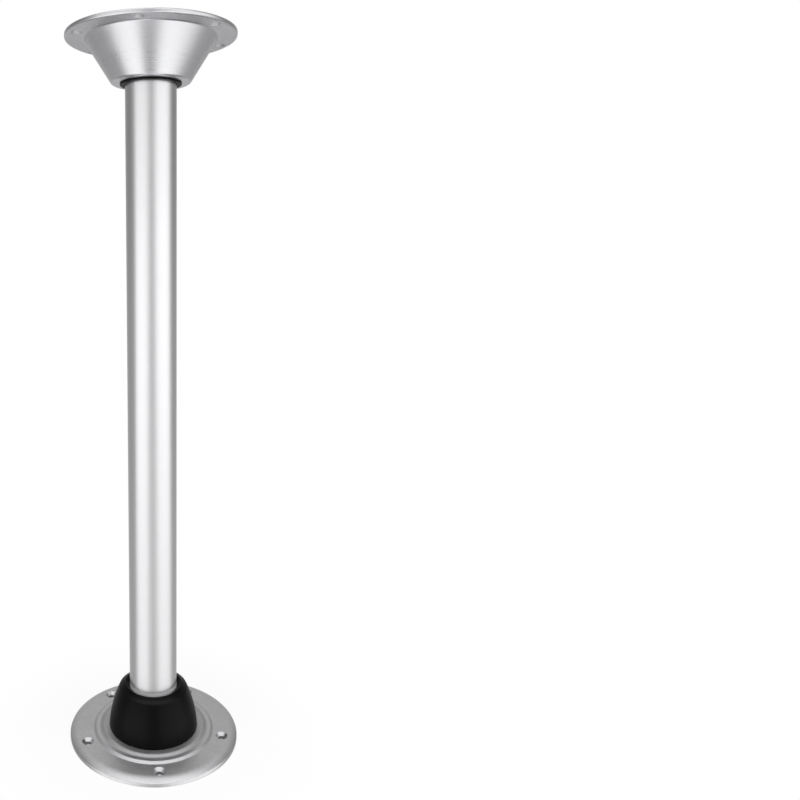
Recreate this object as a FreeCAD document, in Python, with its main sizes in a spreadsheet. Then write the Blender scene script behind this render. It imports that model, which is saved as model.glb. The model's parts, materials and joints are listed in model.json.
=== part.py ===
import FreeCAD, Part
import math
import os

import Sketcher

# Removable table leg: a round floor plate with a moulded socket boot on it, a straight aluminium tube that
# stands in the boot, and a cast cone mount for the table top that turns on a plastic bush over the tube.
# The leg stands along +Z, its origin is the middle of the floor plate's underside, and sizes are millimetres.

# Driving sizes. Each one is a cell of the spreadsheet, and every sketch and feature reads it from there.
SIZES = {
    # Whole leg
    "total_height": 660.0,
    "running_gap": 0.08,
    # Floor plate
    "plate_diameter": 164.0,
    "plate_rim_height": 5.5,
    "plate_edge_height": 3.1,
    "plate_slope_width": 8.8,
    "plate_slope_radius": 17.6,
    "plate_rim_radius": 2.0,
    "plate_step_height": 1.55,
    "plate_step_slope": 2.7,
    "plate_seat_slope": 3.0,
    "plate_step_radius": 1.2,
    "seat_step_radius": 4.0,
    "step_ledge": 4.3,
    "boot_seat_margin": 5.6,
    "plate_recess_inset": 5.0,
    "plate_recess_depth": 4.0,
    "floor_hole_count": 5,
    "floor_hole_inset": 14.0,
    "floor_hole_angle": -86.9,
    "floor_hole_diameter": 6.0,
    "floor_countersink_diameter": 11.6,
    "countersink_angle": 90.0,
    # Boot
    "boot_foot_diameter": 86.6,
    "boot_shoulder_diameter": 66.0,
    "boot_shoulder_height": 39.4,
    "boot_crest_diameter": 55.0,
    "boot_height": 43.0,
    "boot_mouth_depth": 2.8,
    "boot_mouth_width": 3.3,
    "boot_flank_radius": 105.0,
    "boot_shoulder_radius": 2.0,
    "boot_crest_radius": 0.8,
    "boot_skin": 3.5,
    "boot_floor": 4.0,
    "socket_wall": 3.5,
    "boot_rib_count": 5,
    "boot_rib_thickness": 2.5,
    # Screws that hold the boot on the plate
    "boot_screw_count": 5,
    "boot_screw_angle": -50.0,
    "boss_diameter": 8.6,
    "boss_height": 20.0,
    "screw_diameter": 4.0,
    "screw_reach": 12.0,
    "screw_point": 2.0,
    "screw_head_diameter": 8.0,
    "screw_head_height": 2.6,
    "screw_slot_width": 1.1,
    "screw_slot_length": 4.4,
    "screw_slot_depth": 1.5,
    "screw_hole_clearance": 0.2,
    "pilot_clearance": 0.05,
    "pilot_spare_depth": 2.0,
    # Tube and its two end plugs
    "tube_diameter": 46.0,
    "tube_wall": 2.0,
    "tube_chamfer": 0.5,
    "tube_top_inset": 12.0,
    "plug_flange": 2.0,
    "plug_step": 0.4,
    "plug_wall": 2.5,
    "plug_depth": 16.0,
    "plug_edge_radius": 0.8,
    # Bush between the tube and the mount
    "bush_wall": 2.5,
    "bush_lip_width": 1.9,
    "bush_lip_thickness": 1.5,
    "bush_lip_radius": 0.6,
    "bush_shoulder_thickness": 3.0,
    "bush_shoulder_bore": 36.0,
    # Table mount
    "mount_depth": 41.5,
    "flange_diameter": 151.5,
    "flange_thickness": 4.0,
    "flange_edge_radius": 1.2,
    "cone_top_diameter": 118.4,
    "cone_bottom_diameter": 70.1,
    "cone_wall": 4.2,
    "cone_floor": 4.0,
    "cone_edge_radius": 3.0,
    "cone_root_radius": 1.5,
    "hub_wall": 4.0,
    "hub_foot_radius": 1.5,
    "mount_rib_count": 6,
    "mount_rib_thickness": 3.0,
    "mount_rib_inset": 10.0,
    "mount_rib_angle": 50.0,
    "table_hole_count": 6,
    "table_hole_inset": 8.25,
    "table_hole_angle": 20.0,
    "table_hole_diameter": 5.0,
    "table_countersink_diameter": 10.0,
}


def half(diameter):
    """Expression for the radius of a diameter in the sheet."""
    return f"Sizes.{diameter} / 2"


# Places that several pieces share, as expressions on the sheet.
PLATE_TOP = "(Sizes.plate_rim_height + 2 * Sizes.plate_step_height)"
RECESS_ROOF = "Sizes.plate_recess_depth"
SOCKET_FLOOR = f"({PLATE_TOP} + Sizes.boot_floor)"
BOOT_TOP = f"({PLATE_TOP} + Sizes.boot_height)"
TUBE_BOTTOM = f"({SOCKET_FLOOR} + Sizes.plug_flange)"
TUBE_TOP = "(Sizes.total_height - Sizes.tube_top_inset)"
PLUG_TOP = f"({TUBE_TOP} + Sizes.plug_flange)"
BUSH_TOP = f"({PLUG_TOP} + Sizes.bush_shoulder_thickness)"
MOUNT_BOTTOM = "(Sizes.total_height - Sizes.mount_depth)"
FLANGE_UNDERSIDE = "(Sizes.total_height - Sizes.flange_thickness)"
TUBE_RADIUS = "(Sizes.tube_diameter / 2)"
TUBE_BORE = f"({TUBE_RADIUS} - Sizes.tube_wall)"
RUNNING_BORE = f"({TUBE_RADIUS} + Sizes.running_gap)"
SOCKET_OUTSIDE = f"({RUNNING_BORE} + Sizes.socket_wall)"
BUSH_OUTSIDE = f"({RUNNING_BORE} + Sizes.bush_wall)"
SCREW_CIRCLE = f"({SOCKET_OUTSIDE} + Sizes.boot_foot_diameter / 2 - Sizes.boot_skin)"
HUB_BORE = f"({BUSH_OUTSIDE} + Sizes.running_gap)"
HUB_OUTSIDE = f"({HUB_BORE} + Sizes.hub_wall)"
CONE_SLOPE = (
    "((Sizes.cone_top_diameter - Sizes.cone_bottom_diameter) / 2"
    f" / ({FLANGE_UNDERSIDE} - {MOUNT_BOTTOM}))"
)


def add_sheet(doc):
    """Spreadsheet with one aliased cell for each driving size."""
    sheet = doc.addObject("Spreadsheet::Sheet", "Sizes")
    for row, (name, number) in enumerate(SIZES.items(), start=1):
        sheet.set(f"A{row}", name)
        sheet.set(f"B{row}", str(number))
        sheet.setAlias(f"B{row}", name)
    doc.recompute()
    return sheet


def value(body, expression):
    """Number that an expression on the sheet gives now."""
    return float(body.evalExpression(expression))


def add_body(doc, label):
    body = doc.addObject("PartDesign::Body", label)
    body.Label = label
    body.Placement = FreeCAD.Placement()
    return body


def origin_feature(body, role):
    for feature in body.Origin.OriginFeatures:
        if feature.Role == role:
            return feature
    raise LookupError(role)


def add_sketch(body, name, plane, lift="0", turn="0"):
    """Sketch on an origin plane, lifted along the plane's normal or turned about the leg's axis."""
    sketch = body.newObject("Sketcher::SketchObject", name)
    sketch.AttachmentSupport = (origin_feature(body, plane), [""])
    sketch.MapMode = "FlatFace"
    leg_axis = FreeCAD.Vector(0, 0, 1) if plane == "XY_Plane" else FreeCAD.Vector(0, 1, 0)
    turned = FreeCAD.Rotation(leg_axis, value(body, turn))
    sketch.AttachmentOffset = FreeCAD.Placement(FreeCAD.Vector(0, 0, value(body, lift)), turned)
    if lift != "0":
        sketch.setExpression(".AttachmentOffset.Base.z", lift)
    if turn != "0":
        sketch.setExpression(".AttachmentOffset.Rotation.Angle", turn)
    return sketch


def bind(sketch, kind, geometry, place, expression):
    """One coordinate of a sketch point, measured from the origin and tied to the sheet."""
    axis = {"DistanceX": -2, "DistanceY": -1}[kind]
    if expression == "0":
        sketch.addConstraint(Sketcher.Constraint("PointOnObject", geometry, place, axis))
        return
    number = value(sketch, expression)
    index = sketch.addConstraint(Sketcher.Constraint(kind, -1, 1, geometry, place, number))
    sketch.setExpression(f"Constraints[{index}]", expression)


def bulged_side(start, end, radius):
    """Arc between two corners of an outline that runs anticlockwise, swelling outwards."""
    chord = end - start
    rise = radius - math.sqrt(radius ** 2 - (chord.Length / 2) ** 2)
    outward = FreeCAD.Vector(chord.y, -chord.x, 0).normalize()
    return Part.Arc(start, (start + end) / 2 + outward * rise, end)


def draw_outline(sketch, corners, bulges=None):
    """Closed anticlockwise outline whose corners are pairs of expressions.

    A side is straight unless bulges gives the radius of its arc, by the number of the side.
    """
    bulges = bulges or {}
    spots = [FreeCAD.Vector(value(sketch, x), value(sketch, y), 0) for x, y in corners]
    for index, (start, end) in enumerate(zip(spots, spots[1:] + spots[:1])):
        if index in bulges:
            sketch.addGeometry(bulged_side(start, end, value(sketch, bulges[index])), False)
        else:
            sketch.addGeometry(Part.LineSegment(start, end), False)
    for index, (x, y) in enumerate(corners):
        following = (index + 1) % len(corners)
        sketch.addConstraint(Sketcher.Constraint("Coincident", index, 2, following, 1))
        bind(sketch, "DistanceX", index, 1, x)
        bind(sketch, "DistanceY", index, 1, y)
    for index, radius in bulges.items():
        number = sketch.addConstraint(Sketcher.Constraint("Radius", index, value(sketch, radius)))
        sketch.setExpression(f"Constraints[{number}]", radius)


def draw_circle(sketch, diameter, circle, angle):
    """Circle of a given diameter whose centre lies on a pitch circle at an angle."""
    x = f"{circle} / 2 * cos({angle})"
    y = f"{circle} / 2 * sin({angle})"
    centre = FreeCAD.Vector(value(sketch, x), value(sketch, y), 0)
    radius = value(sketch, diameter) / 2
    sketch.addGeometry(Part.Circle(centre, FreeCAD.Vector(0, 0, 1), radius), False)
    bind(sketch, "DistanceX", 0, 3, x)
    bind(sketch, "DistanceY", 0, 3, y)
    index = sketch.addConstraint(Sketcher.Constraint("Diameter", 0, 2 * radius))
    sketch.setExpression(f"Constraints[{index}]", diameter)


def turn_section(body, name, corners, bulges=None, cut=False):
    """Section turned about the leg's axis, as a solid or as a groove."""
    sketch = add_sketch(body, f"{name}_section", "XZ_Plane")
    draw_outline(sketch, corners, bulges)
    turned = body.newObject("PartDesign::Groove" if cut else "PartDesign::Revolution", name)
    turned.Profile = sketch
    turned.ReferenceAxis = (sketch, ["V_Axis"])
    turned.Angle = 360
    body.Document.recompute()
    return turned


def ring_edge(feature, radius, height):
    """Name of the round edge at a radius and height about the leg's axis."""
    for index, edge in enumerate(feature.Shape.Edges, start=1):
        if not isinstance(edge.Curve, Part.Circle):
            continue
        circle = edge.Curve
        off_axis = abs(circle.Center.x) + abs(circle.Center.y)
        if off_axis + abs(circle.Radius - radius) + abs(circle.Center.z - height) < 0.001:
            return f"Edge{index}"
    raise LookupError(f"no edge at radius {radius} and height {height} of {feature.Name}")


def round_rings(body, name, radius, rings):
    """Fillet on round edges, each given as a radius and a height."""
    base = body.Tip
    edges = [ring_edge(base, value(body, ring), value(body, height)) for ring, height in rings]
    fillet = body.newObject("PartDesign::Fillet", name)
    fillet.Base = (base, edges)
    fillet.setExpression("Radius", radius)
    body.Document.recompute()
    return fillet


def bevel_rings(body, name, size, rings):
    """Chamfer on round edges, each given as a radius and a height."""
    base = body.Tip
    edges = [ring_edge(base, value(body, ring), value(body, height)) for ring, height in rings]
    chamfer = body.newObject("PartDesign::Chamfer", name)
    chamfer.Base = (base, edges)
    chamfer.setExpression("Size", size)
    body.Document.recompute()
    return chamfer


def repeat_round(body, name, features, count):
    """Copies of features spread evenly about the leg's axis."""
    pattern = body.newObject("PartDesign::PolarPattern", name)
    pattern.Originals = features
    pattern.Axis = (origin_feature(body, "Z_Axis"), [""])
    pattern.Angle = 360
    pattern.setExpression("Occurrences", count)
    body.Tip = pattern
    body.Document.recompute()
    return pattern


def drill(body, name, face, circle, angle, diameter, upward, countersink=None, depth=None):
    """Straight hole on a pitch circle, cut from a level face, with a countersink of a diameter if given."""
    sketch = add_sketch(body, f"{name}_centre", "XY_Plane", lift=face)
    draw_circle(sketch, diameter, circle, angle)
    body.Document.recompute()
    before = body.Shape.Volume
    hole = body.newObject("PartDesign::Hole", name)
    hole.Profile = sketch
    body.Document.recompute()
    hole.Threaded = False
    hole.setExpression("Diameter", diameter)
    hole.Reversed = upward
    hole.DepthType = "Dimension" if depth else "ThroughAll"
    hole.DrillPoint = "Flat"
    if depth:
        hole.setExpression("Depth", depth)
    if countersink:
        hole.HoleCutType = "Countersink"
        hole.setExpression("HoleCutDiameter", countersink)
        hole.setExpression("HoleCutCountersinkAngle", "Sizes.countersink_angle")
    body.Document.recompute()
    if body.Shape.Volume >= before:
        raise ValueError(f"{name} cuts nothing")
    return hole


def add_rib(body, name, corners, thickness, turn, bulges=None):
    """Flat rib through the leg's axis, drawn in its own upright plane."""
    sketch = add_sketch(body, f"{name}_outline", "XZ_Plane", turn=turn)
    draw_outline(sketch, corners, bulges)
    rib = body.newObject("PartDesign::Pad", name)
    rib.Profile = sketch
    rib.SideType = "Symmetric"
    rib.setExpression("Length", thickness)
    body.Document.recompute()
    return rib


def make_base_plate(doc):
    """Cast floor plate with a sloping rim, two low steps, a recess under its middle and fixing holes."""
    body = add_body(doc, "base_plate")
    first_step = "(Sizes.plate_rim_height + Sizes.plate_step_height)"
    inner_crest = f"({half('boot_foot_diameter')} + Sizes.boot_seat_margin)"
    inner_foot = f"({inner_crest} + Sizes.plate_seat_slope)"
    outer_crest = f"({inner_foot} + Sizes.step_ledge)"
    outer_foot = f"({outer_crest} + Sizes.plate_step_slope)"
    recess = f"({inner_foot} - Sizes.plate_recess_inset)"
    rim = half("plate_diameter")
    turn_section(body, "plate_disc", [
        ("0", RECESS_ROOF),
        (recess, RECESS_ROOF),
        (recess, "0"),
        (rim, "0"),
        (rim, "Sizes.plate_edge_height"),
        (f"({rim} - Sizes.plate_slope_width)", "Sizes.plate_rim_height"),
        (outer_foot, "Sizes.plate_rim_height"),
        (outer_crest, first_step),
        (inner_foot, first_step),
        (inner_crest, PLATE_TOP),
        ("0", PLATE_TOP),
    ], bulges={4: "Sizes.plate_slope_radius"})
    round_rings(body, "rim_rounding", "Sizes.plate_rim_radius", [(rim, "Sizes.plate_edge_height")])
    round_rings(body, "step_rounding", "Sizes.plate_step_radius", [
        (outer_foot, "Sizes.plate_rim_height"),
        (outer_crest, first_step),
    ])
    round_rings(body, "seat_rounding", "Sizes.seat_step_radius", [
        (inner_foot, first_step),
        (inner_crest, PLATE_TOP),
    ])
    fixing = drill(
        body, "floor_hole", "Sizes.plate_rim_height", "(Sizes.plate_diameter - 2 * Sizes.floor_hole_inset)",
        "Sizes.floor_hole_angle", "Sizes.floor_hole_diameter", upward=False,
        countersink="Sizes.floor_countersink_diameter",
    )
    repeat_round(body, "floor_holes", [fixing], "Sizes.floor_hole_count")
    passage = drill(
        body, "boot_screw_hole", PLATE_TOP, SCREW_CIRCLE, "Sizes.boot_screw_angle",
        "(Sizes.screw_diameter + 2 * Sizes.screw_hole_clearance)", upward=False,
    )
    repeat_round(body, "boot_screw_holes", [passage], "Sizes.boot_screw_count")
    return body


def make_boot(doc):
    """Moulded socket: a bell-shaped skin round a plain bore, cored from below, with ribs and screw bosses."""
    body = add_body(doc, "boot")
    foot = half("boot_foot_diameter")
    shoulder = half("boot_shoulder_diameter")
    shoulder_level = f"({PLATE_TOP} + Sizes.boot_shoulder_height)"
    mouth = f"({BOOT_TOP} - Sizes.boot_mouth_depth)"
    crest_outside = half("boot_crest_diameter")
    crest_inside = f"({RUNNING_BORE} + Sizes.boot_mouth_width)"
    turn_section(body, "boot_bell", [
        ("0", PLATE_TOP),
        (foot, PLATE_TOP),
        (shoulder, shoulder_level),
        (crest_outside, BOOT_TOP),
        (crest_inside, BOOT_TOP),
        (RUNNING_BORE, mouth),
        (RUNNING_BORE, SOCKET_FLOOR),
        ("0", SOCKET_FLOOR),
    ], bulges={1: "Sizes.boot_flank_radius"})
    round_rings(body, "shoulder_rounding", "Sizes.boot_shoulder_radius", [(shoulder, shoulder_level)])
    round_rings(body, "crest_rounding", "Sizes.boot_crest_radius", [
        (crest_outside, BOOT_TOP),
        (crest_inside, BOOT_TOP),
    ])
    core_roof = f"({shoulder_level} - Sizes.boot_skin)"
    core_bulge = {1: "(Sizes.boot_flank_radius - Sizes.boot_skin)"}
    turn_section(body, "boot_core", [
        (SOCKET_OUTSIDE, PLATE_TOP),
        (f"{foot} - Sizes.boot_skin", PLATE_TOP),
        (f"{shoulder} - Sizes.boot_skin", core_roof),
        (SOCKET_OUTSIDE, core_roof),
    ], bulges=core_bulge, cut=True)
    rib = add_rib(body, "boot_rib", [
        (f"{SOCKET_OUTSIDE} - Sizes.socket_wall / 2", PLATE_TOP),
        (f"{foot} - Sizes.boot_skin / 2", PLATE_TOP),
        (f"{shoulder} - Sizes.boot_skin / 2", core_roof),
        (f"{SOCKET_OUTSIDE} - Sizes.socket_wall / 2", core_roof),
    ], "Sizes.boot_rib_thickness", turn="Sizes.boot_screw_angle", bulges=core_bulge)
    repeat_round(body, "boot_ribs", [rib], "Sizes.boot_rib_count")
    boss_sketch = add_sketch(body, "boss_outline", "XY_Plane", lift=PLATE_TOP)
    draw_circle(boss_sketch, "Sizes.boss_diameter", SCREW_CIRCLE, "Sizes.boot_screw_angle")
    boss = body.newObject("PartDesign::Pad", "screw_boss")
    boss.Profile = boss_sketch
    boss.setExpression("Length", "Sizes.boss_height")
    doc.recompute()
    repeat_round(body, "screw_bosses", [boss], "Sizes.boot_screw_count")
    pilot = drill(
        body, "pilot_hole", PLATE_TOP, SCREW_CIRCLE, "Sizes.boot_screw_angle",
        "(Sizes.screw_diameter + 2 * Sizes.pilot_clearance)", upward=True,
        depth="Sizes.screw_reach + Sizes.pilot_spare_depth",
    )
    repeat_round(body, "pilot_holes", [pilot], "Sizes.boot_screw_count")
    return body


def cut_cross(body, face, axis):
    """Cross recess for the driver, cut upwards into the head of the first screw."""
    sketch = add_sketch(body, "cross_outline", "XY_Plane", lift=face, turn="Sizes.boot_screw_angle")
    long_side = "Sizes.screw_slot_length / 2"
    short_side = "Sizes.screw_slot_width / 2"
    draw_outline(sketch, [
        (f"{axis} + {long_side}", f"-{short_side}"),
        (f"{axis} + {long_side}", short_side),
        (f"{axis} + {short_side}", short_side),
        (f"{axis} + {short_side}", long_side),
        (f"{axis} - {short_side}", long_side),
        (f"{axis} - {short_side}", short_side),
        (f"{axis} - {long_side}", short_side),
        (f"{axis} - {long_side}", f"-{short_side}"),
        (f"{axis} - {short_side}", f"-{short_side}"),
        (f"{axis} - {short_side}", f"-{long_side}"),
        (f"{axis} + {short_side}", f"-{long_side}"),
        (f"{axis} + {short_side}", f"-{short_side}"),
    ])
    before = body.Shape.Volume
    recess = body.newObject("PartDesign::Pocket", "cross_recess")
    recess.Profile = sketch
    recess.Reversed = True
    recess.setExpression("Length", "Sizes.screw_slot_depth")
    body.Document.recompute()
    if body.Shape.Volume >= before:
        raise ValueError("the cross recess cuts nothing")
    return recess


def make_boot_screws(doc):
    """Pan head screws that come up through the plate's recess into the boot's bosses."""
    body = add_body(doc, "boot_screws")
    body.AllowCompound = True
    axis = f"{SCREW_CIRCLE} / 2"
    shank = "Sizes.screw_diameter / 2"
    head = half("screw_head_diameter")
    tip = f"({PLATE_TOP} + Sizes.screw_reach)"
    underhead = RECESS_ROOF
    crown = f"({RECESS_ROOF} - Sizes.screw_head_height)"
    sketch = add_sketch(body, "screw_section", "XZ_Plane", turn="Sizes.boot_screw_angle")
    draw_outline(sketch, [
        (axis, crown),
        (f"{axis} + {head} * 0.7", crown),
        (f"{axis} + {head}", f"{underhead} - Sizes.screw_head_height / 2"),
        (f"{axis} + {head}", underhead),
        (f"{axis} + {shank}", underhead),
        (f"{axis} + {shank}", f"{tip} - Sizes.screw_point"),
        (f"{axis}", tip),
    ])
    screw = body.newObject("PartDesign::Revolution", "screw")
    screw.Profile = sketch
    screw.ReferenceAxis = (sketch, ["Edge7"])
    screw.Angle = 360
    doc.recompute()
    recess = cut_cross(body, crown, axis)
    repeat_round(body, "screws", [screw, recess], "Sizes.boot_screw_count")
    return body


def make_tube(doc):
    """Plain round tube with both ends chamfered."""
    body = add_body(doc, "tube")
    turn_section(body, "tube_wall", [
        (TUBE_BORE, TUBE_BOTTOM),
        (TUBE_RADIUS, TUBE_BOTTOM),
        (TUBE_RADIUS, TUBE_TOP),
        (TUBE_BORE, TUBE_TOP),
    ])
    bevel_rings(body, "end_chamfers", "Sizes.tube_chamfer", [(TUBE_RADIUS, TUBE_BOTTOM), (TUBE_RADIUS, TUBE_TOP)])
    return body


def make_end_plug(doc, label, tube_end, outward):
    """Cup-shaped plug pushed into one end of the tube, its flange against the tube's end face."""
    body = add_body(doc, label)
    inward = "-" if outward == "+" else "+"
    face = f"({tube_end} {outward} Sizes.plug_flange)"
    rim = f"({TUBE_RADIUS} - Sizes.plug_step)"
    sleeve = f"({TUBE_BORE} - Sizes.running_gap)"
    sleeve_bore = f"({sleeve} - Sizes.plug_wall)"
    sleeve_end = f"({tube_end} {inward} Sizes.plug_depth)"
    turn_section(body, f"{label}_cup", [
        ("0", face),
        (rim, face),
        (rim, tube_end),
        (sleeve, tube_end),
        (sleeve, sleeve_end),
        (sleeve_bore, sleeve_end),
        (sleeve_bore, f"{tube_end} {inward} (Sizes.plug_wall - Sizes.plug_flange)"),
        ("0", f"{tube_end} {inward} (Sizes.plug_wall - Sizes.plug_flange)"),
    ])
    round_rings(body, f"{label}_rounding", "Sizes.plug_edge_radius", [(rim, face)])
    return body


def make_mount_bush(doc):
    """Plastic bush that sits over the tube's end and carries the mount on its lip."""
    body = add_body(doc, "mount_bush")
    lip = f"({BUSH_OUTSIDE} + Sizes.bush_lip_width)"
    lip_underside = f"({MOUNT_BOTTOM} - Sizes.bush_lip_thickness)"
    turn_section(body, "bush_sleeve", [
        (RUNNING_BORE, lip_underside),
        (lip, lip_underside),
        (lip, MOUNT_BOTTOM),
        (BUSH_OUTSIDE, MOUNT_BOTTOM),
        (BUSH_OUTSIDE, BUSH_TOP),
        (half("bush_shoulder_bore"), BUSH_TOP),
        (half("bush_shoulder_bore"), PLUG_TOP),
        (RUNNING_BORE, PLUG_TOP),
    ])
    round_rings(body, "lip_rounding", "Sizes.bush_lip_radius", [(lip, lip_underside)])
    return body


def make_table_mount(doc):
    """Cast cone with a flange: open on top, with a ribbed hub that turns on the bush."""
    body = add_body(doc, "table_mount")
    cone_floor = f"({MOUNT_BOTTOM} + Sizes.cone_floor)"
    cone_bottom = half("cone_bottom_diameter")
    cone_top = half("cone_top_diameter")
    flange = half("flange_diameter")
    rib_floor = f"({MOUNT_BOTTOM} + Sizes.cone_floor / 2)"
    rib_top = "(Sizes.total_height - Sizes.mount_rib_inset)"

    def cone_inside(height, wall_share=1):
        """Radius inside the cone's wall at a height, or part of the way into it."""
        return f"{cone_bottom} + {CONE_SLOPE} * ({height} - {MOUNT_BOTTOM}) - Sizes.cone_wall * {wall_share}"

    turn_section(body, "cone_casting", [
        (HUB_BORE, MOUNT_BOTTOM),
        (cone_bottom, MOUNT_BOTTOM),
        (cone_top, FLANGE_UNDERSIDE),
        (flange, FLANGE_UNDERSIDE),
        (flange, "Sizes.total_height"),
        (cone_inside("Sizes.total_height"), "Sizes.total_height"),
        (cone_inside(cone_floor), cone_floor),
        (HUB_OUTSIDE, cone_floor),
        (HUB_OUTSIDE, BUSH_TOP),
        (HUB_BORE, BUSH_TOP),
    ])
    round_rings(body, "cone_root", "Sizes.cone_root_radius", [(cone_top, FLANGE_UNDERSIDE)])
    round_rings(body, "cone_edge", "Sizes.cone_edge_radius", [(cone_bottom, MOUNT_BOTTOM)])
    round_rings(body, "flange_edges", "Sizes.flange_edge_radius", [
        (flange, FLANGE_UNDERSIDE),
        (flange, "Sizes.total_height"),
    ])
    round_rings(body, "hub_foot", "Sizes.hub_foot_radius", [(HUB_OUTSIDE, cone_floor)])
    rib = add_rib(body, "mount_rib", [
        (f"{HUB_OUTSIDE} - Sizes.hub_wall / 2", rib_floor),
        (cone_inside(rib_floor, 0.5), rib_floor),
        (cone_inside(rib_top, 0.5), rib_top),
        (f"{HUB_OUTSIDE} - Sizes.hub_wall / 2", rib_top),
    ], "Sizes.mount_rib_thickness", turn="Sizes.mount_rib_angle")
    repeat_round(body, "mount_ribs", [rib], "Sizes.mount_rib_count")
    fixing = drill(
        body, "table_hole", FLANGE_UNDERSIDE, "(Sizes.flange_diameter - 2 * Sizes.table_hole_inset)",
        "Sizes.table_hole_angle", "Sizes.table_hole_diameter", upward=True,
        countersink="Sizes.table_countersink_diameter",
    )
    repeat_round(body, "table_holes", [fixing], "Sizes.table_hole_count")
    return body


def check_document(doc, bodies):
    """Stop if a feature failed or a piece has no sound solid."""
    for item in doc.Objects:
        if "Invalid" in item.State or "Error" in item.State:
            raise RuntimeError(f"{item.Name} failed: {item.State}")
    for body in bodies:
        if body.Shape.isNull() or not body.Shape.isValid() or not body.Shape.Solids:
            raise RuntimeError(f"{body.Label} has no sound solid")


def main():
    doc = FreeCAD.newDocument("table_leg")
    add_sheet(doc)
    bodies = [
        make_base_plate(doc),
        make_boot(doc),
        make_boot_screws(doc),
        make_tube(doc),
        make_end_plug(doc, "tube_foot_plug", TUBE_BOTTOM, "-"),
        make_end_plug(doc, "tube_top_plug", TUBE_TOP, "+"),
        make_mount_bush(doc),
        make_table_mount(doc),
    ]
    doc.recompute()
    check_document(doc, bodies)
    os.makedirs("parts", exist_ok=True)
    for body in bodies:
        body.Shape.exportStep(f"parts/{body.Label}.step")
        box = body.Shape.BoundBox
        print(
            f"{body.Label}: {len(body.Shape.Solids)} solids, {body.Shape.Volume:.0f} mm3,"
            f" z {box.ZMin:.2f} to {box.ZMax:.2f}, radius {box.XMax:.2f}"
        )


main()
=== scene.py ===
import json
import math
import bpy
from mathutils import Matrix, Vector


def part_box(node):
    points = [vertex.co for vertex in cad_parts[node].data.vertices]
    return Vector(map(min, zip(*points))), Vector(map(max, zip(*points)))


bl_info = {
    "name": "Removable Table Leg",
    "version": (1, 0, 0),
    "blender": (4, 5, 0),
    "location": "3D View > Sidebar > Table Leg",
    "description": "Finishes the pieces of a removable table leg and stands them in a plain studio",
    "category": "Object",
}

import bpy
from bpy.props import FloatProperty, FloatVectorProperty, PointerProperty
from mathutils import Euler, Vector

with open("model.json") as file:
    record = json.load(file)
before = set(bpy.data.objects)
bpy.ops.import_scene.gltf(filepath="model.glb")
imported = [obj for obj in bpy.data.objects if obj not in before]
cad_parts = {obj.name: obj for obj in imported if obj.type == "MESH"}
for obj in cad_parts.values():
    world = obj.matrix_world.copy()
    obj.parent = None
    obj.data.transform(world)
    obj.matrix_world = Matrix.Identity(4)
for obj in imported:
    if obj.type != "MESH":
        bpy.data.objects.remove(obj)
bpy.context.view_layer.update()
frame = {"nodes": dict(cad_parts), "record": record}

MM = 0.001


def slot_colour(slot):
    """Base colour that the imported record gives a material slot."""
    for material in frame["record"]["materials"]:
        if material["slot"] == slot:
            return tuple(material["base_color"])
    raise LookupError(slot)


def hole_pattern(name):
    """Circle radius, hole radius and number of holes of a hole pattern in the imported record."""
    for mount in frame["record"]["mounts"]:
        if mount["name"] == name:
            dims = mount["dims"]
            return dims["pcd_mm"] * MM / 2, dims["hole_r_mm"] * MM, dims["count"]
    raise LookupError(name)


# Corners of the pieces' boxes, which give their heights and radii
_, PLATE_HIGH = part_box("base_plate")
_, BOOT_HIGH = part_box("boot")
BUSH_LOW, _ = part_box("mount_bush")
MOUNT_LOW, MOUNT_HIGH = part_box("table_mount")

# Bearing of the first hole of each ring in degrees, and how far its countersink reaches past the hole
FLOOR_HOLE_ANGLE = -86.9
FLOOR_COUNTERSINK = 2.8 * MM
TABLE_HOLE_ANGLE = 20.0
TABLE_COUNTERSINK = 2.4 * MM

# Studio that shows in the metal, by bearing from the front in degrees
LEFT_BOX = (-78.0, -16.0)
RIGHT_BOX = (16.0, 88.0)
BOX_EDGE = 7.0
FRONT_WALL = (-88.0, 96.0)
FRONT_WALL_EDGE = 8.0
BACK_WALL = (128.0, 165.0)

# Brightness of that studio's parts, with 1 the white that the camera sees
SIDE_LEVEL = 0.24
FRONT_TOP_LEVEL = 1.05
CEILING_LEVEL = 1.43

# Heights in that studio between which its parts fade, as the upward share of the direction to them
DEEP_FADE = (-0.70, -0.54)
LOW_FADE = (-0.55, -0.09)
FLOOR_GLOW_FADE = (-0.55, -0.43)
MIDDLE_FADE = (-0.09, 0.17)
LEFT_BOX_LEAN = (-0.35, 0.2)
LEFT_BOX_FADE = (0.0, 0.28)
RIGHT_BOX_FADE = (0.08, 0.3)
FRONT_WALL_TOP = (0.38, 0.66)
CEILING_FADE = (0.73, 1.0)

# Distances from the leg's axis between which its soft shadow on the floor fades into white
SHADOW_FADE = (0.09, 0.2)


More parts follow.
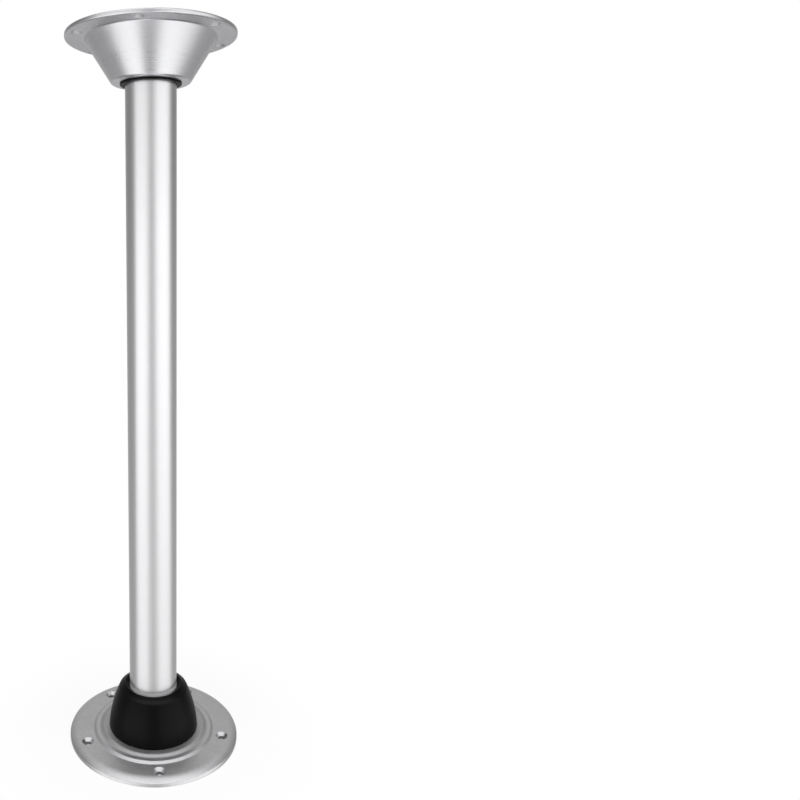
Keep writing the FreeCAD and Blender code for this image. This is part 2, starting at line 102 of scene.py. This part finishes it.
class Wire:
    """Output of a shader node. Operators on it add Math nodes, and node() adds any other kind of node."""

    def __init__(self, tree, socket=None):
        self.tree = tree
        self.socket = socket

    def node(self, kind, settings=None, inputs=None, output=0):
        """Add a node, set it up, fill its inputs with values or wires, and give one of its outputs."""
        made = self.tree.nodes.new(kind)
        for name, setting in (settings or {}).items():
            setattr(made, name, setting)
        for name, value in (inputs or {}).items():
            if isinstance(value, Wire):
                self.tree.links.new(value.socket, made.inputs[name])
            else:
                made.inputs[name].default_value = value
        return Wire(self.tree, made.outputs[output])

    def maths(self, operation, *operands):
        """Add a Math node that works on wires or numbers."""
        inputs = dict(enumerate(operands))
        return self.node("ShaderNodeMath", {"operation": operation}, inputs)

    def __add__(self, other):
        return self.maths("ADD", self, other)

    __radd__ = __add__

    def __sub__(self, other):
        return self.maths("SUBTRACT", self, other)

    def __rsub__(self, other):
        return self.maths("SUBTRACT", other, self)

    def __mul__(self, other):
        return self.maths("MULTIPLY", self, other)

    __rmul__ = __mul__

    def __truediv__(self, other):
        return self.maths("DIVIDE", self, other)

    def __pow__(self, other):
        return self.maths("POWER", self, other)

    def __neg__(self):
        return self.maths("MULTIPLY", self, -1.0)

    def __abs__(self):
        return self.maths("ABSOLUTE", self)

    def rise(self, low, high):
        """Smooth step from 0 below low to 1 above high."""
        settings = {"interpolation_type": "SMOOTHSTEP"}
        return self.node("ShaderNodeMapRange", settings, {"Value": self, "From Min": low, "From Max": high})

    def between(self, low, high, soft):
        """1 between two limits and 0 outside them, with soft edges."""
        return self.rise(low - soft, low + soft) * (1 - self.rise(high - soft, high + soft))

    def tint(self, first, second):
        """Colour that runs from the first to the second as the wire goes from 0 to 1."""
        inputs = {0: self, 6: (*first, 1.0), 7: (*second, 1.0)}
        return self.node("ShaderNodeMix", {"data_type": "RGBA"}, inputs, output=2)

    def darkened(self, where, level):
        """The wire's colour, brought down to a share of itself where another wire is 1."""
        inputs = {0: where, 6: self, 7: (level, level, level, 1.0)}
        return self.node("ShaderNodeMix", {"data_type": "RGBA", "blend_type": "MULTIPLY"}, inputs, output=2)


class Place:
    """Where a point lies on a piece, as wires: upright and round the leg's axis, in metres and radians."""

    def __init__(self, tree):
        start = Wire(tree)
        self.point = start.node("ShaderNodeTexCoord", output="Object")
        split = {"Vector": self.point}
        self.x = start.node("ShaderNodeSeparateXYZ", None, split, "X")
        self.y = start.node("ShaderNodeSeparateXYZ", None, split, "Y")
        self.z = start.node("ShaderNodeSeparateXYZ", None, split, "Z")
        self.radius = (self.x * self.x + self.y * self.y) ** 0.5
        self.angle = self.y.maths("ARCTAN2", self.y, self.x)

    def vector(self, x, y, z):
        """Join three wires or numbers into a vector."""
        return self.point.node("ShaderNodeCombineXYZ", None, {"X": x, "Y": y, "Z": z})

    def noise(self, grain, vector=None, detail=2.0):
        """Noise from 0 to 1 whose features are about as wide as grain, in metres."""
        inputs = {"Vector": vector or self.point, "Scale": 1 / grain, "Detail": detail}
        return self.point.node("ShaderNodeTexNoise", None, inputs)

    def rings(self, grain, waver=0.002):
        """Turning lines about the leg's axis, which change a little on their way round."""
        around = self.vector(self.x * waver / grain * MM, self.y * waver / grain * MM, 0.0)
        across = self.vector(self.radius, self.z, 0.0)
        inputs = {0: across, 1: around}
        vector = self.point.node("ShaderNodeVectorMath", {"operation": "ADD"}, inputs)
        return self.noise(grain, vector, detail=1.0)

    def strokes(self, grain, length):
        """Drawn lines along the leg, much longer than they are wide."""
        vector = self.vector(self.x, self.y, self.z * (grain / length))
        return self.noise(grain, vector)

    def from_hole(self, circle, count, first_angle):
        """Distance from the axis of the nearest of a ring of holes."""
        share = math.pi / count
        turned = self.angle - math.radians(first_angle)
        folded = turned.maths("WRAP", turned, share, -share)
        opposite = folded.maths("COSINE", folded)
        squared = self.radius * self.radius + circle ** 2 - 2 * circle * self.radius * opposite
        return squared.maths("MAXIMUM", squared, 0.0) ** 0.5


def hole_masks(place, mount, first_angle, countersink):
    """1 on the countersinks of a ring of holes, and 1 on the walls of their bores, which the materials
    darken as painted shade.
    """
    circle, hole, count = hole_pattern(mount)
    from_hole = place.from_hole(circle, count, first_angle)
    machined = 1 - from_hole.rise(hole + countersink, hole + countersink + 0.3 * MM)
    # Mask of the hole bores, which carries painted shade into the materials
    drilled_wall_shade = 1 - from_hole.rise(hole + 0.1 * MM, hole + 0.3 * MM)
    return machined, drilled_wall_shade


def start_material(name):
    """Empty material with its output and Principled shader, and the coordinates for its patterns."""
    material = bpy.data.materials.new(name)
    material.use_nodes = True
    tree = material.node_tree
    tree.nodes.clear()
    output = tree.nodes.new("ShaderNodeOutputMaterial")
    shader = tree.nodes.new("ShaderNodeBsdfPrincipled")
    tree.links.new(shader.outputs["BSDF"], output.inputs["Surface"])
    return material, shader, Place(tree)


def finish_shader(shader, colour, roughness, height, depth, metallic=0.0):
    """Feed a Principled shader its colour, roughness and relief, whose height in metres is depth."""
    tree = shader.id_data
    shader.inputs["Metallic"].default_value = metallic
    tree.links.new(colour.socket, shader.inputs["Base Color"])
    tree.links.new(roughness.socket, shader.inputs["Roughness"])
    bump = height.node("ShaderNodeBump", None, {"Strength": 1.0, "Distance": depth, "Height": height})
    tree.links.new(bump.socket, shader.inputs["Normal"])


def shade(colour, level):
    """A colour made lighter or darker."""
    return tuple(min(1.0, part * level) for part in colour)


def dress(node, material):
    """Give a CAD piece its material."""
    mesh = frame["nodes"][node].data
    mesh.materials.clear()
    mesh.materials.append(material)


def cast_plate_material(finish):
    """Satin cast aluminium: faint turning lines, machined countersinks, a rubbed outer edge lightened by a
    painted highlight, and a dull ledge near the boot and bored hole walls darkened by painted shade.
    """
    material, shader, place = start_material("Cast plate aluminium")
    colour = finish.plate_colour
    machined, drilled_wall_shade = hole_masks(place, "floor_holes", FLOOR_HOLE_ANGLE, FLOOR_COUNTERSINK)
    # Outer edge: rubbed, so less rough, and its base colour lightened as a painted highlight
    rubbed_rim_highlight = place.radius.rise(PLATE_HIGH.x - 8 * MM, PLATE_HIGH.x - 5 * MM)
    # Ledge near the boot: its base colour is darkened as painted shade, and it is a little rougher
    seat_shade = 1 - place.radius.rise(BOOT_HIGH.x + 9.3 * MM, BOOT_HIGH.x + 10.3 * MM)
    grain = place.noise(0.5 * MM, detail=3.0)
    cloud = place.noise(14 * MM, detail=3.0)
    rings = place.rings(1.1 * MM)
    fine_rings = place.rings(0.35 * MM)
    mottle = place.noise(2.2 * MM)
    # The outer-edge term in this tone is a painted highlight
    tone = 0.5 * cloud + 0.3 * grain + 0.2 * rings + (mottle - 0.5) + 0.2 * machined + 0.3 * rubbed_rim_highlight
    base = tone.tint(shade(colour, 0.88), shade(colour, 1.12))
    # Painted shade: the hole bores and the ledge near the boot are darkened
    base = base.darkened(drilled_wall_shade, 0.45).darkened(seat_shade, 0.8)
    roughness = (
        finish.plate_roughness + 0.10 * (cloud - 0.5) + 0.08 * (grain - 0.5)
        - 0.10 * machined - 0.10 * rubbed_rim_highlight + 0.3 * drilled_wall_shade + 0.08 * seat_shade
    )
    relief = 0.6 * grain + 0.4 * rings + 0.3 * fine_rings
    finish_shader(shader, base, roughness, relief * (1 - 0.6 * machined), 0.02 * MM, metallic=1.0)
    return material


def moulding_material(name, colour, base_roughness, grain_size, relief_depth, polished_band=None):
    """Moulded plastic: fine even grain, faint flow clouds, and a rubbed band between two heights."""
    material, shader, place = start_material(name)
    grain = place.noise(grain_size)
    cloud = place.noise(18 * MM)
    tone = 0.7 * cloud + 0.3 * grain
    base = tone.tint(shade(colour, 0.1), shade(colour, 0.3))
    roughness = base_roughness + 0.12 * (cloud - 0.5) + 0.10 * (grain - 0.5)
    shader.inputs["IOR"].default_value = 1.2
    if polished_band:
        shader.inputs["Coat Roughness"].default_value = 0.25
        coat = 0.15 * place.z.between(*polished_band, 0.6 * MM)
        shader.id_data.links.new(coat.socket, shader.inputs["Coat Weight"])
    finish_shader(shader, base, roughness, grain, relief_depth)
    return material


def tube_material(finish):
    """Satin anodised tube: drawn lines, clouds, rub marks in boot and bush, dust at the boot's mouth."""
    material, shader, place = start_material("Satin anodised tube")
    colour = finish.tube_colour
    lines = place.strokes(0.35 * MM, 90 * MM)
    broad_lines = place.strokes(1.6 * MM, 260 * MM)
    cloud = place.noise(40 * MM)
    grain = place.noise(0.18 * MM, detail=1.0)
    low_rub = 1 - place.z.rise(BOOT_HIGH.z - 6 * MM, BOOT_HIGH.z - 4 * MM)
    high_rub = place.z.rise(BUSH_LOW.z + 1 * MM, BUSH_LOW.z + 3 * MM)
    scratches = place.strokes(0.5 * MM, 25 * MM).rise(0.62, 0.70)
    rub = (low_rub + high_rub) * scratches
    dust = place.z.between(BOOT_HIGH.z - 6 * MM, BOOT_HIGH.z + 1.5 * MM, 1.5 * MM)
    tone = 0.35 * lines + 0.35 * broad_lines + 0.3 * cloud - 0.25 * rub
    base = tone.tint(shade(colour, 0.93), shade(colour, 1.07))
    roughness = finish.tube_roughness + 0.08 * (lines - 0.5) + 0.05 * (broad_lines - 0.5) + 0.12 * rub
    polish = place.rings(0.12 * MM)
    relief = 0.5 * lines + 0.3 * grain + 0.2 * broad_lines - 0.4 * rub + 4.5 * polish
    finish_shader(shader, base, roughness, relief, 0.008 * MM)
    metallic = 1 - 0.9 * dust
    shader.id_data.links.new(metallic.socket, shader.inputs["Metallic"])
    return material


def mount_material(finish):
    """Turned aluminium outside, cast grain in the pocket, machined holes and top face, and hole bores
    darkened by painted shade.
    """
    material, shader, place = start_material("Turned mount aluminium")
    colour = finish.mount_colour
    machined, drilled_wall_shade = hole_masks(place, "table_holes", TABLE_HOLE_ANGLE, TABLE_COUNTERSINK)
    slope = finish.cone_spread / (MOUNT_HIGH.z - MOUNT_LOW.z)
    skin = place.radius - (place.z - MOUNT_LOW.z) * slope - finish.cone_foot_radius
    pocket = (1 - skin.rise(-3.4 * MM, -2.8 * MM)) * place.z.between(
        MOUNT_LOW.z + 2 * MM, MOUNT_HIGH.z + 1 * MM, 0.5 * MM
    )
    turned = 1 - pocket
    flange = place.radius.between(MOUNT_HIGH.x - 15 * MM, MOUNT_HIGH.x - 1.2 * MM, 0.6 * MM)
    flange = flange * (1 - machined)
    rings = place.rings(0.9 * MM)
    fine_rings = place.rings(0.15 * MM)
    cloud = place.noise(16 * MM)
    grain = place.noise(0.7 * MM, detail=3.0)
    mottle = place.noise(2.2 * MM)
    tone = 0.3 * rings + 0.2 * fine_rings + 0.4 * cloud - 0.25 * pocket + flange * (2.4 * mottle - 1.05)
    base = tone.tint(shade(colour, 0.9), shade(colour, 1.1))
    # Painted shade: the hole bores are darkened
    base = base.darkened(machined, 0.85).darkened(drilled_wall_shade, 0.5)
    roughness = (
        finish.mount_roughness + 0.10 * (rings - 0.5) * turned + 0.06 * (cloud - 0.5)
        + 0.24 * pocket + 0.3 * machined + 0.2 * flange
    )
    turning = turned * (1.0 * rings + 3.2 * fine_rings) * (1 - 0.8 * flange)
    relief = turning + (2.0 * pocket + 1.5 * flange) * grain
    finish_shader(shader, base, roughness, relief, 0.012 * MM, metallic=1.0)
    return material


def screw_material(finish):
    """Bright zinc on steel, a little uneven, with fine marks of handling."""
    material, shader, place = start_material("Zinc plated steel")
    colour = finish.screw_colour
    cloud = place.noise(2.5 * MM, detail=3.0)
    marks = place.noise(0.2 * MM)
    base = (0.7 * cloud + 0.3 * marks).tint(shade(colour, 0.85), shade(colour, 1.15))
    roughness = finish.screw_roughness + 0.15 * (cloud - 0.5)
    finish_shader(shader, base, roughness, marks, 0.006 * MM, metallic=1.0)
    return material


class LegFinish(bpy.types.PropertyGroup):
    """Colours and surface qualities of the leg's pieces."""

    plate_colour: FloatVectorProperty(
        name="Plate colour", description="Cast aluminium of the floor plate",
        subtype="COLOR", size=3, min=0.0, max=1.0, default=slot_colour("cast_aluminium"),
    )
    plate_roughness: FloatProperty(
        name="Plate roughness", description="Satin of the floor plate", min=0.05, max=1.0, default=0.44,
    )
    moulding_colour: FloatVectorProperty(
        name="Boot colour", description="Moulded plastic of the boot",
        subtype="COLOR", size=3, min=0.0, max=1.0, default=slot_colour("black_moulding"),
    )
    moulding_roughness: FloatProperty(
        name="Boot roughness", description="Gloss of the boot", min=0.05, max=1.0, default=0.36,
    )
    screw_colour: FloatVectorProperty(
        name="Screw colour", description="Zinc of the screws under the plate",
        subtype="COLOR", size=3, min=0.0, max=1.0, default=slot_colour("screw_steel"),
    )
    screw_roughness: FloatProperty(
        name="Screw roughness", description="Gloss of the zinc", min=0.05, max=1.0, default=0.28,
    )
    tube_colour: FloatVectorProperty(
        name="Tube colour", description="Anodised aluminium of the tube",
        subtype="COLOR", size=3, min=0.0, max=1.0, default=slot_colour("satin_tube"),
    )
    tube_roughness: FloatProperty(
        name="Tube roughness", description="Satin of the tube", min=0.05, max=1.0, default=0.3,
    )
    plug_colour: FloatVectorProperty(
        name="Plug colour", description="Moulded plastic of the tube's end plugs",
        subtype="COLOR", size=3, min=0.0, max=1.0, default=slot_colour("plug_plastic"),
    )
    plug_roughness: FloatProperty(
        name="Plug roughness", description="Gloss of the end plugs", min=0.05, max=1.0, default=0.5,
    )
    bush_colour: FloatVectorProperty(
        name="Bush colour", description="Moulded plastic of the bush in the mount",
        subtype="COLOR", size=3, min=0.0, max=1.0, default=slot_colour("bush_plastic"),
    )
    bush_roughness: FloatProperty(
        name="Bush roughness", description="Gloss of the bush", min=0.05, max=1.0, default=0.42,
    )
    mount_colour: FloatVectorProperty(
        name="Mount colour", description="Turned aluminium of the table mount",
        subtype="COLOR", size=3, min=0.0, max=1.0, default=slot_colour("turned_aluminium"),
    )
    mount_roughness: FloatProperty(
        name="Mount roughness", description="Satin of the turned cone", min=0.05, max=1.0, default=0.29,
    )
    cone_foot_radius: FloatProperty(
        name="Cone foot", description="Radius of the cone at its lower end",
        unit="LENGTH", min=0.0, default=35.05 * MM,
    )
    cone_spread: FloatProperty(
        name="Cone spread", description="How much wider the cone's radius grows up to the mount's top",
        unit="LENGTH", min=0.0, default=26.73 * MM,
    )


class LegStudio(bpy.types.PropertyGroup):
    """Camera, floor and light around the leg."""

    camera_place: FloatVectorProperty(
        name="Camera place", description="Where the camera stands",
        subtype="TRANSLATION", size=3, precision=4, default=(-0.01716, -0.69806, 0.47158),
    )
    camera_tilt: FloatProperty(
        name="Camera tilt", description="How far the camera looks down", subtype="ANGLE", default=0.13521,
    )
    camera_roll: FloatProperty(
        name="Camera roll", description="Turn of the camera about its own view",
        subtype="ANGLE", default=-0.00727,
    )
    camera_lens: FloatProperty(
        name="Lens", description="Focal length for a 36 mm wide sensor", unit="CAMERA", default=34.182,
    )
    shift_right: FloatProperty(
        name="Shift across", description="Sideways shift of the picture, as a share of its width",
        default=0.33329,
    )
    shift_up: FloatProperty(
        name="Shift up", description="Upward shift of the picture, as a share of its width",
        default=-0.05655,
    )
    floor_size: FloatProperty(
        name="Floor size", description="Length of the floor's sides", unit="LENGTH", default=14.0,
    )
    softbox_level: FloatProperty(
        name="Softbox level", description="Brightness of the two tall softboxes in front", default=1.48,
    )
    lamp_power: FloatProperty(
        name="Lamp power", description="Power of the soft lamp above, of which the side lamp has a part",
        unit="POWER", default=8.0,
    )


class LegOperator:
    """What every operator of the leg shares."""

    bl_options = {"REGISTER", "UNDO"}

    def finish(self, context):
        """Colours and surface qualities that the scene holds for the leg."""
        return context.scene.leg_finish


class LEG_OT_base_plate(LegOperator, bpy.types.Operator):
    """Finish the floor plate in satin cast aluminium"""

    bl_idname = "table_leg.base_plate"
    bl_label = "Base Plate"

    def execute(self, context):
        dress("base_plate", cast_plate_material(self.finish(context)))
        return {"FINISHED"}


class LEG_OT_boot(LegOperator, bpy.types.Operator):
    """Finish the socket boot in black moulded plastic"""

    bl_idname = "table_leg.boot"
    bl_label = "Boot"

    def execute(self, context):
        finish = self.finish(context)
        shoulder = (BOOT_HIGH.z - 4.0 * MM, BOOT_HIGH.z - 1.6 * MM)
        material = moulding_material(
            "Black boot moulding", finish.moulding_colour, finish.moulding_roughness,
            grain_size=0.45 * MM, relief_depth=0.012 * MM, polished_band=shoulder,
        )
        dress("boot", material)
        return {"FINISHED"}


class LEG_OT_boot_screws(LegOperator, bpy.types.Operator):
    """Finish the screws under the plate in bright zinc"""

    bl_idname = "table_leg.boot_screws"
    bl_label = "Boot Screws"

    def execute(self, context):
        dress("boot_screws", screw_material(self.finish(context)))
        return {"FINISHED"}


class LEG_OT_tube(LegOperator, bpy.types.Operator):
    """Finish the tube in satin anodised aluminium"""

    bl_idname = "table_leg.tube"
    bl_label = "Tube"

    def execute(self, context):
        dress("tube", tube_material(self.finish(context)))
        return {"FINISHED"}


class LEG_OT_end_plugs(LegOperator, bpy.types.Operator):
    """Finish the plugs in both ends of the tube in matt black plastic"""

    bl_idname = "table_leg.end_plugs"
    bl_label = "End Plugs"

    def execute(self, context):
        finish = self.finish(context)
        material = moulding_material(
            "Black plug moulding", finish.plug_colour, finish.plug_roughness,
            grain_size=0.3 * MM, relief_depth=0.008 * MM,
        )
        dress("tube_foot_plug", material)
        dress("tube_top_plug", material)
        return {"FINISHED"}


class LEG_OT_mount_bush(LegOperator, bpy.types.Operator):
    """Finish the bush between tube and mount in black plastic"""

    bl_idname = "table_leg.mount_bush"
    bl_label = "Mount Bush"

    def execute(self, context):
        finish = self.finish(context)
        material = moulding_material(
            "Black bush moulding", finish.bush_colour, finish.bush_roughness,
            grain_size=0.3 * MM, relief_depth=0.006 * MM,
        )
        dress("mount_bush", material)
        return {"FINISHED"}


class LEG_OT_table_mount(LegOperator, bpy.types.Operator):
    """Finish the table mount in turned aluminium"""

    bl_idname = "table_leg.table_mount"
    bl_label = "Table Mount"

    def execute(self, context):
        dress("table_mount", mount_material(self.finish(context)))
        return {"FINISHED"}


def make_floor(size):
    """Pale floor, white to the camera away from the leg, that keeps the leg's soft shadow near it."""
    mesh = bpy.data.meshes.new("floor")
    half = size / 2
    corners = [(-half, -half, 0.0), (half, -half, 0.0), (half, half, 0.0), (-half, half, 0.0)]
    mesh.from_pydata(corners, [], [(0, 1, 2, 3)])
    floor = bpy.data.objects.new("floor", mesh)
    bpy.context.scene.collection.objects.link(floor)
    material = bpy.data.materials.new("Pale floor")
    material.use_nodes = True
    tree = material.node_tree
    tree.nodes.clear()
    start = Wire(tree)
    place = Place(tree)
    outside = place.radius.rise(PLATE_HIGH.x - 1 * MM, PLATE_HIGH.x)
    camera_ray = start.node("ShaderNodeLightPath", output="Is Camera Ray")
    glossy_ray = start.node("ShaderNodeLightPath", output="Is Glossy Ray")
    matt = start.node("ShaderNodeBsdfDiffuse", None, {"Color": (0.92, 0.92, 0.92, 1.0)})
    white = start.node("ShaderNodeEmission", None, {"Color": (1.0, 1.0, 1.0, 1.0), "Strength": 1.0})
    share = camera_ray * outside * (0.85 + 0.15 * place.radius.rise(*SHADOW_FADE))
    mixed = start.node("ShaderNodeMixShader", None, {0: share, 1: matt, 2: white})
    clear = start.node("ShaderNodeBsdfTransparent")
    seen = start.node("ShaderNodeMixShader", None, {0: glossy_ray * outside, 1: mixed, 2: clear})
    link_surface(tree, seen, "ShaderNodeOutputMaterial")
    mesh.materials.append(material)


def link_surface(tree, shader, kind):
    """Put a shader on the tree's output node."""
    output = tree.nodes.new(kind)
    tree.links.new(shader.socket, output.inputs["Surface"])


def make_world(level):
    """Plain studio that shows in the metal: two tall softboxes in front, darker sides, pale grey behind.

    The camera itself sees white.
    """
    world = bpy.data.worlds.new("studio")
    bpy.context.scene.world = world
    world.use_nodes = True
    world.cycles.sampling_method = "NONE"
    tree = world.node_tree
    tree.nodes.clear()
    start = Wire(tree)
    direction = start.node("ShaderNodeTexCoord", output="Generated")
    split = {"Vector": direction}
    x = start.node("ShaderNodeSeparateXYZ", None, split, "X")
    y = start.node("ShaderNodeSeparateXYZ", None, split, "Y")
    z = start.node("ShaderNodeSeparateXYZ", None, split, "Z")
    bearing = x.maths("ARCTAN2", x, -y) * math.degrees(1.0)
    deep = 1 - z.rise(*DEEP_FADE)
    low = (1 - z.rise(*LOW_FADE)) * (1 - deep)
    middle = 1 - z.rise(*MIDDLE_FADE)
    left = (bearing + 5 * deep + 4 - 7 * z.rise(*LEFT_BOX_LEAN)).between(*LEFT_BOX, BOX_EDGE)
    right = (bearing - 7 * low - 2 * deep).between(*RIGHT_BOX, BOX_EDGE)
    front = bearing.between(*FRONT_WALL, FRONT_WALL_EDGE)
    behind = abs(bearing).rise(*BACK_WALL)
    grey = SIDE_LEVEL + 0.11 * middle + 0.09 * low - 0.22 * deep
    grey = grey + (0.22 + 0.05 * deep) * front + (0.26 - 0.1 * middle) * behind
    box = level * (1 - 0.27 * low - 0.08 * (1 - deep) * (1 - z.rise(*FLOOR_GLOW_FADE)))
    left_box = box * (1 - 0.42 * z.rise(*LEFT_BOX_FADE))
    right_box = box * (0.99 - 0.33 * z.rise(*RIGHT_BOX_FADE))
    seen = grey + (left_box - grey) * left + (right_box - grey) * right
    seen = seen + (FRONT_TOP_LEVEL - seen) * front * z.rise(*FRONT_WALL_TOP)
    seen = seen + (CEILING_LEVEL - seen) * z.rise(*CEILING_FADE)
    camera_ray = start.node("ShaderNodeLightPath", output="Is Camera Ray")
    strength = camera_ray + (1 - camera_ray) * seen
    inputs = {"Color": (1.0, 1.0, 1.0, 1.0), "Strength": strength}
    background = start.node("ShaderNodeBackground", None, inputs)
    link_surface(tree, background, "ShaderNodeOutputWorld")


def make_lamp(name, place, aim, size, power):
    """Large soft lamp that lights without showing in the metal."""
    data = bpy.data.lights.new(name, "AREA")
    data.shape = "SQUARE"
    data.size = size
    data.energy = power
    lamp = bpy.data.objects.new(name, data)
    lamp.location = place
    lamp.rotation_euler = (Vector(aim) - Vector(place)).to_track_quat("-Z", "Y").to_euler()
    lamp.visible_glossy = False
    lamp.visible_camera = False
    bpy.context.scene.collection.objects.link(lamp)


def make_camera(studio):
    """Camera with the place, lens and shift that the studio's values give."""
    data = bpy.data.cameras.new("camera")
    data.sensor_width = 36.0
    data.lens = studio.camera_lens
    data.shift_x = studio.shift_right
    data.shift_y = studio.shift_up
    camera = bpy.data.objects.new("camera", data)
    camera.location = studio.camera_place
    camera.rotation_mode = "ZYX"
    camera.rotation_euler = Euler((math.pi / 2 - studio.camera_tilt, 0.0, studio.camera_roll), "ZYX")
    bpy.context.scene.collection.objects.link(camera)
    bpy.context.scene.camera = camera


class LEG_OT_stage(LegOperator, bpy.types.Operator):
    """Set up the floor, the soft light and the camera"""

    bl_idname = "table_leg.stage"
    bl_label = "Studio and Camera"

    def execute(self, context):
        studio = context.scene.leg_studio
        make_floor(studio.floor_size)
        make_world(studio.softbox_level)
        power = studio.lamp_power
        side_power = power * 0.6
        make_lamp("lamp_above", place=(-0.9, -1.1, 2.2), aim=(0.0, 0.0, 0.2), size=1.6, power=power)
        make_lamp("lamp_right", place=(1.6, -0.9, 1.3), aim=(0.0, 0.0, 0.3), size=1.2, power=side_power)
        make_camera(studio)
        context.scene.view_settings.view_transform = "Standard"
        return {"FINISHED"}


OPERATORS = (
    LEG_OT_base_plate,
    LEG_OT_boot,
    LEG_OT_boot_screws,
    LEG_OT_tube,
    LEG_OT_end_plugs,
    LEG_OT_mount_bush,
    LEG_OT_table_mount,
    LEG_OT_stage,
)


class LEG_PT_panel(bpy.types.Panel):
    """Sidebar panel with the leg's finishes and the buttons that apply them"""

    bl_label = "Table Leg"
    bl_idname = "LEG_PT_panel"
    bl_space_type = "VIEW_3D"
    bl_region_type = "UI"
    bl_category = "Table Leg"

    def draw(self, context):
        for group in (context.scene.leg_finish, context.scene.leg_studio):
            box = self.layout.box()
            for name in group.bl_rna.properties.keys():
                if name not in {"rna_type", "name"}:
                    box.prop(group, name)
        for operator in OPERATORS:
            self.layout.operator(operator.bl_idname)


CLASSES = (LegFinish, LegStudio, *OPERATORS, LEG_PT_panel)


def register():
    """Add the leg's classes to Blender and its values to the scene."""
    for cls in CLASSES:
        bpy.utils.register_class(cls)
    bpy.types.Scene.leg_finish = PointerProperty(type=LegFinish)
    bpy.types.Scene.leg_studio = PointerProperty(type=LegStudio)


def unregister():
    """Take the leg's values and classes away again."""
    del bpy.types.Scene.leg_studio
    del bpy.types.Scene.leg_finish
    for cls in reversed(CLASSES):
        bpy.utils.unregister_class(cls)


def main():
    """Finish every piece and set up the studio."""
    register()
    bpy.ops.table_leg.base_plate()
    bpy.ops.table_leg.boot()
    bpy.ops.table_leg.boot_screws()
    bpy.ops.table_leg.tube()
    bpy.ops.table_leg.end_plugs()
    bpy.ops.table_leg.mount_bush()
    bpy.ops.table_leg.table_mount()
    bpy.ops.table_leg.stage()


if __name__ == "__main__":
    main()
